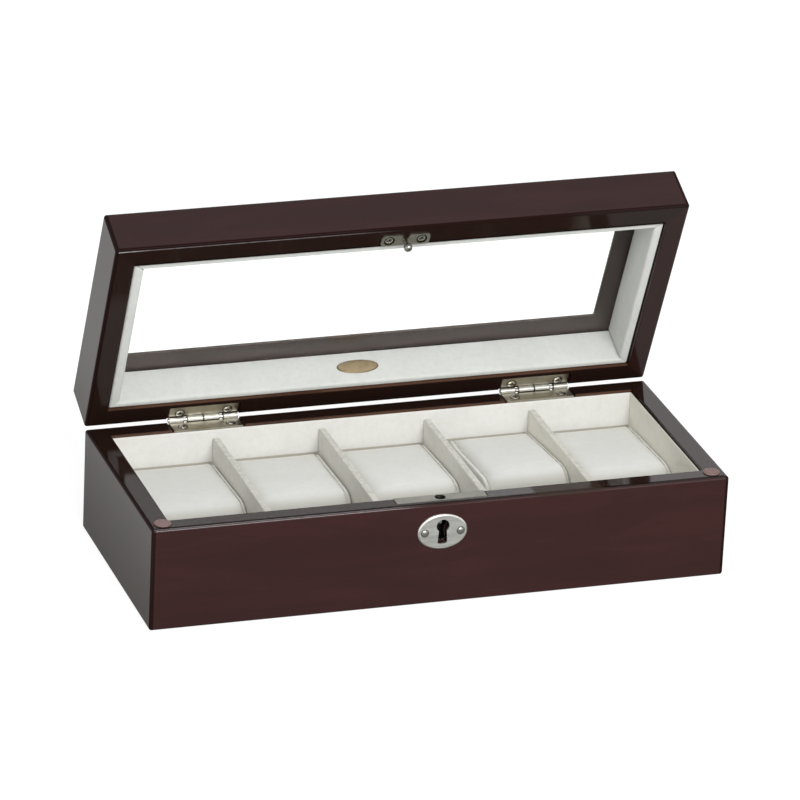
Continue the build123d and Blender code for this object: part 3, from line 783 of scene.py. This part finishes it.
def soft(name, co, faces, material, body, *replaced, slot, fill):
    made = to_object(name, co, faces, material)
    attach(made, body)
    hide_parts(*replaced)
    return made


def mitred(co, low, high, inward):
    """Shortens a liner board with its depth, so that it meets its neighbours on the diagonal."""
    depth_axis, sign = inward
    run = 1 - depth_axis
    outer_edge = low[depth_axis] if sign > 0 else high[depth_axis]
    depth = np.abs(co[:, depth_axis] - outer_edge)
    half = (high[run] - low[run]) / 2
    middle = (low[run] + high[run]) / 2
    co[:, run] = middle + (co[:, run] - middle) * (half - depth + MITRE_OVERLAP) / half
    return co


def behind_lock(co):
    """The front liner's back is hollowed for the lock."""
    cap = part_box("lock_cap")
    at_lock = (np.abs(co[:, 0]) < cap[1].x + LOCK_CLEARANCE) & (co[:, 2] > cap[0].z - LOCK_CLEARANCE)
    co[:, 1] = np.where(at_lock, np.maximum(co[:, 1], cap[1].y + LOCK_CLEARANCE), co[:, 1])
    return co


def nudged(co):
    co[:, 0] += NUDGE
    return co


def full_face(co):
    """The inner face of a left liner stands out more, and its back stays."""
    reach = co[:, 0].max() - co[:, 0].min()
    co[:, 0] += FULLER * (co[:, 0] - co[:, 0].min()) / reach
    return co


# boards with a change of shape or a velvet of their own
SHAPES = {"base_front_liner": behind_lock, "lid_left_liner": full_face, "divider_4": nudged}
OWN_VELVETS = {
    "base_rear_liner": rear_lining,
    "base_right_liner": right_lining,
    "divider_4": right_divider_velvet,
}


def velvet_of(node):
    """The material of the board in a node's place."""
    if node in OWN_VELVETS:
        return OWN_VELVETS[node]
    if node.startswith("lid"):
        return lid_lining
    return divider_velvet if node.startswith("divider") else lining


def fabric_board(node, radius, step=2.6 * MM, wave=0.10 * MM, inward=None, seed=1):
    """A velvet-covered board in a node's place. A liner's board is mitred, so it needs its way inwards."""
    shut = node.startswith("lid")
    low, high = closed_box(node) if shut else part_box(node)
    co, faces = rounded_box(low, high, radius, step)
    _, out = from_core(co, low, high, radius)
    ripple = wave * waviness(co, 17 * MM, seed)
    co = co + out * (ripple - wave)[:, None]
    if inward is not None:
        co = mitred(co, low, high, inward)
    if node in SHAPES:
        co = SHAPES[node](co)
    if shut:
        co = moved(co, SWING)
    body = "lid" if shut else "base"
    cloth = velvet_of(node)
    return soft(f"{node}_velvet", co, faces, cloth, body, node, slot="velvet_lining", fill=0.9)


for i, (side, inward) in enumerate(INWARD.items()):
    fabric_board(f"base_{side}_liner", 1.0 * MM, inward=inward, seed=i)
    fabric_board(f"lid_{side}_liner", 1.3 * MM, inward=inward, seed=i + 10)
for i in range(1, 5):
    fabric_board(f"divider_{i}", 0.8 * MM, step=2.2 * MM, wave=0.16 * MM, seed=i + 20)
fabric_board("base_floor_pad", 0.5 * MM, step=4.0 * MM, wave=0.05 * MM, seed=31)

# ---- felt ----------------------------------------------------------
BUMPER_AROUND = 72
# from the middle of a pad's top to the foot of its side, as shares of its radius and height
BUMPER_PROFILE = [
    (0.0, 1.0), (0.30, 1.0), (0.60, 0.99), (0.82, 0.97), (0.92, 0.90), (0.98, 0.72), (1.0, 0.45), (0.99, 0.0)
]
FRAY = 0.012  # how uneven its edge is, and its top
DIMPLE = 0.03


def underside():
    node = "underside_felt"
    low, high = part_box(node)
    co, faces = rounded_box(low, high, 0.4 * MM, 4.0 * MM)
    name = "underside_felt_cloth"
    return soft(name, co, faces, black_felt, "base", node, slot="underside_felt", fill=0.9)


def bumper(side, seed):
    """A punched felt disc with a soft, uneven edge."""
    node = f"bumper_pad_{side}"
    low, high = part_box(node)
    centre = (low + high) / 2
    radius, height = (high.x - low.x) / 2, high.z - low.z
    co, faces = [(centre.x, centre.y, high.z)], []
    for share, rise in BUMPER_PROFILE[1:]:
        for j in range(BUMPER_AROUND):
            turn = 2 * math.pi * j / BUMPER_AROUND
            fray = 1 - FRAY * (1 + noise.noise(Vector((9 * math.cos(turn), 9 * math.sin(turn), seed))))
            reach = radius * share * fray
            dimple = DIMPLE * abs(noise.noise(Vector((share * 7, turn * 3, seed))))
            z = low.z + height * rise * (1 - dimple)
            co.append((centre.x + reach * math.cos(turn), centre.y + reach * math.sin(turn), z))
    rings = len(BUMPER_PROFILE) - 1
    co.append((centre.x, centre.y, low.z))
    for j in range(BUMPER_AROUND):
        k = (j + 1) % BUMPER_AROUND
        faces.append((0, 1 + j, 1 + k))
        for r in range(rings - 1):
            a, b = 1 + r * BUMPER_AROUND, 1 + (r + 1) * BUMPER_AROUND
            faces.append((a + j, b + j, b + k, a + k))
        base = 1 + (rings - 1) * BUMPER_AROUND
        faces.append((base + j, len(co) - 1, base + k))
    return soft(f"{node}_felt", np.array(co), faces, pad_felt, "base", node, slot="bumper_felt", fill=0.9)


underside()
bumper("left", 3.1)
bumper("right", 8.4)

# ---- pillows -------------------------------------------------------
# each is a foam block in a wrap of velvet, with an end panel sewn on each side: loops round it, in Y and Z,
# stand at stations along X
SEAM_INSET = 2.7 * MM  # from the end of the pillow to its seam
WRAP_SLACK = 1.2 * MM  # how far inside its box the middle of the wrap lies before it swells
SEAM_FULLNESS = 0.3 * MM  # how much less far inside it lies beside a seam
FRONT_SLACK = 2.0 * MM  # how much further inside its front lies, and its back
REAR_SLACK = 0.6 * MM
CORNER_TUCKS = (1.5 * MM, 6.0 * MM)  # the left and right rear corners, seen from above
FRONT_RADIUS = 15.0 * MM
REAR_RADIUS = 3.6 * MM
UNDER_RADIUS = 6.0 * MM
LEAST_RADIUS = 0.8 * MM
LONG_STEPS, TALL_STEPS, TURN_STEPS = 17, 6, 6
WRAP_STATIONS = 10  # from the middle to beside a seam
# the stations across a seam: how far beyond it they are, and how much further inside than the wrap, in
# millimetres. They go down into the seam, over the piping and round onto the end panel
ACROSS_SEAM = [
    (-1.2, -0.10), (-0.55, 0.05), (-0.25, 0.35), (0.0, 0.70), (0.25, 0.35), (0.60, 0.02), (1.2, -0.05),
    (1.75, 0.15), (2.1, 0.7), (2.32, 1.6), (2.45, 3.0), (2.54, 5.0), (2.60, 8.0), (2.62, 11.5),
]
STITCHED = 0.3 * MM  # how far from the seam its stitches show
SEWN_FLAT = 1.3 * MM  # how far from the seam the wrap can't swell
PRESSURE = 3.0
SWELL_CAP = 2.0 * MM
CLOTH_MASS = 0.02
CLOTH_QUALITY = 4
SIM_FRAMES = 20
# painted shade on the pillows
BACK_SHADE = 0.33
BACK_SHADE_FROM = -5 * MM  # it grows from here to the back
TURNED_SHARE = 0.60  # of the front's rounding, over which the painted shade grows
VALLEY_SHADE = 0.6
CONTACT_FROM = 2.0 * MM  # painted contact shadow from here to the back, where it meets the lining
CONTACT_SOFT = 1.4 * MM


def wrap_loop(low, high, inset, tuck):
    """One turn of the wrap in Y and Z, from the top front, over the back and under."""
    y0, y1 = low.y + inset + FRONT_SLACK, high.y - inset - tuck - REAR_SLACK
    z0, z1 = low.z + inset, high.z - inset
    corners = [
        (y1, z1, REAR_RADIUS, 90),
        (y1, z0, UNDER_RADIUS, 0),
        (y0, z0, UNDER_RADIUS, -90),
        (y0, z1, FRONT_RADIUS, 180),
    ]
    turns = []
    for y, z, radius, start in corners:
        r = max(radius - inset, LEAST_RADIUS)
        cy = y - r if y == y1 else y + r
        cz = z - r if z == z1 else z + r
        angles = [math.radians(start - 90 * k / TURN_STEPS) for k in range(TURN_STEPS + 1)]
        turns.append([(cy + r * math.cos(a), cz + r * math.sin(a)) for a in angles])
    loop = []
    for n, turn in enumerate(turns):
        before = np.array(turns[n - 1][-1])
        steps = LONG_STEPS if n % 2 == 0 else TALL_STEPS
        for k in range(1, steps):
            loop.append(tuple(before + (np.array(turn[0]) - before) * k / steps))
        loop += turn
    return loop


def end_panel(base, around, flip):
    """Quads across a flat loop, pairing points counted both ways from the middle of the front."""
    start = around - TURN_STEPS - 1 - TALL_STEPS // 2
    order = [base + (start + k) % around for k in range(around)]
    faces = []
    for k in range(around // 2 - 1):
        quad = (order[k], order[k + 1], order[around - 2 - k], order[around - 1 - k])
        faces.append(quad[::-1] if flip else quad)
    return faces


def pillow_mesh(low, high):
    """Points, faces, and how far each point is from the nearer seam."""
    half = (high.x - low.x) / 2
    centre = (high.x + low.x) / 2
    seam = half - SEAM_INSET
    shares = [k / WRAP_STATIONS for k in range(WRAP_STATIONS)]
    right = [(seam * share, WRAP_SLACK - SEAM_FULLNESS * share**3) for share in shares]
    edge = WRAP_SLACK - SEAM_FULLNESS
    right += [(seam + beyond * MM, edge + inside * MM) for beyond, inside in ACROSS_SEAM]
    stations = [(-x, inset) for x, inset in reversed(right[1:])] + right
    co, faces, from_seam = [], [], []
    for x, inset in stations:
        round_corner = CORNER_TUCKS[x > 0]
        reach = max(0.0, round_corner - half + abs(x))
        tuck = round_corner - math.sqrt(round_corner**2 - reach**2)
        loop = wrap_loop(low, high, inset, tuck)
        for y, z in loop:
            co.append((centre + x, y, z))
            from_seam.append(abs(abs(x) - seam))
    around = len(loop)
    for n in range(len(stations) - 1):
        a, b = n * around, (n + 1) * around
        for j in range(around):
            k = (j + 1) % around
            faces.append((a + j, b + j, b + k, a + k))
    faces += end_panel(0, around, False)
    faces += end_panel((len(stations) - 1) * around, around, True)
    return np.array(co), faces, np.array(from_seam)


def settled(co, low, high, n):
    """Moves the points of pillow n to how it sits: see the lists of how each pillow sits."""
    left_seam, right_seam = low.x + SEAM_INSET, high.x - SEAM_INSET
    x = co[:, 0].copy()
    share = np.clip((high.y - co[:, 1]) / RUN, 0, 1)
    creep = CREEP[n] + SKEW[n] * (1 - share)
    co[:, 0] += creep * np.clip((high.x - INNER_END - x) / (high.x - INNER_END - left_seam), 0, 1)
    co[:, 0] += WIDEN[n] * np.clip((x - low.x - INNER_END) / (right_seam - low.x - INNER_END), 0, 1)
    co[:, 0] -= (WIDEN[n] - SPARE[n]) * np.clip((x - right_seam) / SEAM_INSET, 0, 1)
    rise = np.clip((co[:, 2] - low.z) / (high.z - low.z), 0, 1)
    valley = np.exp(-(((co[:, 0] - left_seam - creep) / VALLEY) ** 2))
    sunk = SINK[n] * valley * np.clip(2 * rise - 1, 0, 1)
    co[:, 2] -= sunk * np.clip(VALLEY_AT_BACK + VALLEY_GROWS * share, 0, 1)
    co[:, 2] += (RAISE[n] + LIFT[n] * share) * rise
    co[:, 1] -= FORWARD[n] * share**2
    return co


def pillow_shade(co, low, high, n):
    """How much painted shade each point of a pillow takes, before it settles: towards the back, where it
    turns down at the front, beside the left seam of a pillow pushed in there, and where it meets the lining."""
    back = np.clip((co[:, 1] - BACK_SHADE_FROM) / (high.y - BACK_SHADE_FROM), 0, 1)
    back = BACK_SHADE * back**1.3
    turn = (low.y + FRONT_SLACK + FRONT_RADIUS - co[:, 1]) / FRONT_RADIUS
    front = np.clip(turn / TURNED_SHARE, 0, 1) ** 1.7
    inside = co[:, 0] - low.x - SEAM_INSET
    valley = VALLEY_SHADE * (CREEP[n] > 0) * np.exp(-((inside / VALLEY) ** 2)) * (inside > 0.5 * MM)
    contact = np.clip((co[:, 1] - high.y + REAR_SLACK + CONTACT_FROM) / CONTACT_SOFT, 0, 1)
    return 1 - (1 - SHADED[n]) * (1 - back) * (1 - front) * (1 - valley) * (1 - contact)


def add_attribute(made, name, values):
    attribute = made.data.attributes.new(name, "FLOAT", "POINT")
    attribute.data.foreach_set("value", values.astype(np.float32))


def swell(made, held):
    """Cloth under pressure, its movement capped, applied to the mesh. The held points keep their places."""
    rest = np.array([v.co for v in made.data.vertices], float)
    group = made.vertex_groups.new(name="held")
    group.add([int(i) for i in np.nonzero(held)[0]], 1.0, "REPLACE")
    cloth = made.modifiers.new("cloth", "CLOTH")
    cloth.settings.vertex_group_mass = "held"
    cloth.settings.use_pressure = True
    cloth.settings.uniform_pressure_force = PRESSURE
    cloth.settings.effector_weights.gravity = 0
    cloth.settings.mass = CLOTH_MASS
    cloth.settings.quality = CLOTH_QUALITY
    cloth.point_cache.frame_end = SIM_FRAMES
    scene = bpy.context.scene
    for f in range(1, SIM_FRAMES + 1):
        scene.frame_set(f)
    shown = made.evaluated_get(bpy.context.evaluated_depsgraph_get())
    mesh = shown.to_mesh()
    co = np.array([v.co for v in mesh.vertices], float)
    shown.to_mesh_clear()
    made.modifiers.remove(cloth)
    scene.frame_set(1)
    move = co - rest
    length = np.linalg.norm(move, axis=1, keepdims=True)
    move *= np.minimum(1.0, SWELL_CAP / np.maximum(length, 1e-9))
    made.data.vertices.foreach_set("co", (rest + move).astype(np.float32).ravel())
    made.data.update()


def finer(made, levels):
    sub = made.modifiers.new("finer", "SUBSURF")
    sub.levels = sub.render_levels = levels
    shown = made.evaluated_get(bpy.context.evaluated_depsgraph_get())
    mesh = bpy.data.meshes.new_from_object(shown)
    made.modifiers.remove(sub)
    made.data = mesh
    mesh.shade_smooth()


for n, node in enumerate(PILLOWS):
    low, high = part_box(node)
    co, faces, from_seam = pillow_mesh(low, high)
    on_end = (co[:, 0] < low.x + SEAM_INSET) | (co[:, 0] > high.x - SEAM_INSET)
    # painted shade on the nap
    dark = pillow_shade(co, low, high, n)
    made = to_object(f"pillow_{n + 1}", settled(co, low, high, n), faces, pillow_velvet)
    add_attribute(made, "seam", from_seam < STITCHED)
    add_attribute(made, "pillow_shade", dark)
    # the seams and the stiff end panels keep their shape
    swell(made, (from_seam < SEWN_FLAT) | on_end)
    finer(made, 1)
    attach(made, node)
    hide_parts(node)

# ---- floor, lamp, world --------------------------------------------
FLOOR_SIZE = 8.0
FLOOR_HEIGHT = -0.2 * MM
FLOOR_GREYS = ((0.86, 0.86, 0.86), (0.88, 0.88, 0.88))
FLOOR_SEEN = 0.88  # to the camera the floor shines this much by itself
FLOOR_SHADED = (0.26, 0.26, 0.26)  # and reflects this much more, so that the box's shadow shows
MIRRORED_FLOOR = (0.965, 1.0, 0.965)  # its tint in mirrors
# painted shadow: mirrors see a dim floor beside the box, as if in its shadow, and a brighter one further to
# the left
MIRRORED_FROM = (-0.01, 0.075)
MIRRORED_STRENGTH = (0.28, 0.70)
WHITE = (1.0, 1.0, 1.0)
AMBIENT = 0.46
THROUGH_GLASS = 1.15  # makes up for what the pane takes
CEILING_FROM = (0.55, 0.80)  # mirrors see the world dim between these slopes, the sines of an elevation
CEILING_STRENGTH = 0.28
KEY_PLACE = (0.05, -1.7, 1.43)
KEY_TARGET = (0, 0, 0.05)
KEY_SIZE = (1.2, 0.9)
KEY_POWER = 37
KEY_COLOUR = (0.99, 1.00, 1.00)


def blended(s, factor, first, second):
    """A node that turns from the first shader into the second."""
    made = s.node("MixShader")
    s.link(factor, made.inputs["Fac"])
    s.link(first.outputs[0], made.inputs[1])
    s.link(second.outputs[0], made.inputs[2])
    return made


def floor():
    s = Shader("floor")
    path = s.node("LightPath").outputs
    x, _, _ = s.split(s.place())
    left_of = s.math("SUBTRACT", s.times(x, -1.0), HALF_LENGTH)
    mirrored = s.ramp(left_of, *MIRRORED_FROM, *MIRRORED_STRENGTH)
    soil = s.noise(s.place(), 3.0)
    s.dress(base_color=s.mix(s.ramp(soil, 0.3, 0.7), *FLOOR_GREYS), roughness=0.9, specular_ior_level=0.0)
    by_camera = s.most(path["Is Camera Ray"], path["Is Transmission Ray"])
    strength = s.math("ADD", s.times(by_camera, FLOOR_SEEN), s.times(path["Is Glossy Ray"], mirrored))
    shining = s.node("Emission")
    s.feed(shining.inputs["Color"], s.mix(path["Is Glossy Ray"], WHITE, MIRRORED_FLOOR))
    s.feed(shining.inputs["Strength"], strength)
    shaded = s.node("BsdfDiffuse")
    s.feed(shaded.inputs["Color"], FLOOR_SHADED)
    bright = s.node("AddShader")
    s.link(shaded.outputs[0], bright.inputs[0])
    s.link(shining.outputs[0], bright.inputs[1])
    seen = blended(s, path["Is Glossy Ray"], bright, shining)
    shown = s.most(by_camera, path["Is Glossy Ray"])
    s.link(blended(s, shown, s.surface, seen).outputs[0], s.output.inputs["Surface"])
    half = FLOOR_SIZE / 2
    signs = ((-1, -1), (1, -1), (1, 1), (-1, 1))
    corners = [(half * right, half * back, FLOOR_HEIGHT) for right, back in signs]
    to_object("floor", corners, [(0, 1, 2, 3)], s.material)


def world():
    made = bpy.data.worlds.new("world")
    bpy.context.scene.world = made
    made.use_nodes = True
    s = Nodes(made.node_tree)
    path = s.node("LightPath").outputs
    background = s.tree.nodes["Background"]
    _, _, slope = s.split(s.node("TexCoord").outputs["Generated"])
    ceiling = s.ramp(slope, *CEILING_FROM, 1.0, CEILING_STRENGTH)
    seen = s.math("ADD", path["Is Camera Ray"], s.times(path["Is Transmission Ray"], THROUGH_GLASS))
    seen = s.math("ADD", seen, s.times(path["Is Glossy Ray"], ceiling))
    strength = s.most(s.math("MINIMUM", seen, THROUGH_GLASS), AMBIENT)
    s.feed(background.inputs["Color"], WHITE)
    s.feed(background.inputs["Strength"], strength)


def key_light():
    """A soft box high in front of the box."""
    data = bpy.data.lights.new("key", "AREA")
    data.shape = "RECTANGLE"
    data.size, data.size_y = KEY_SIZE
    data.energy = KEY_POWER
    data.color = KEY_COLOUR
    made = bpy.data.objects.new("key", data)
    made.location = KEY_PLACE
    made.rotation_euler = (Vector(KEY_TARGET) - Vector(KEY_PLACE)).to_track_quat("-Z", "Y").to_euler()
    bpy.context.scene.collection.objects.link(made)


floor()
world()
key_light()
bpy.context.scene.view_settings.view_transform = "Standard"
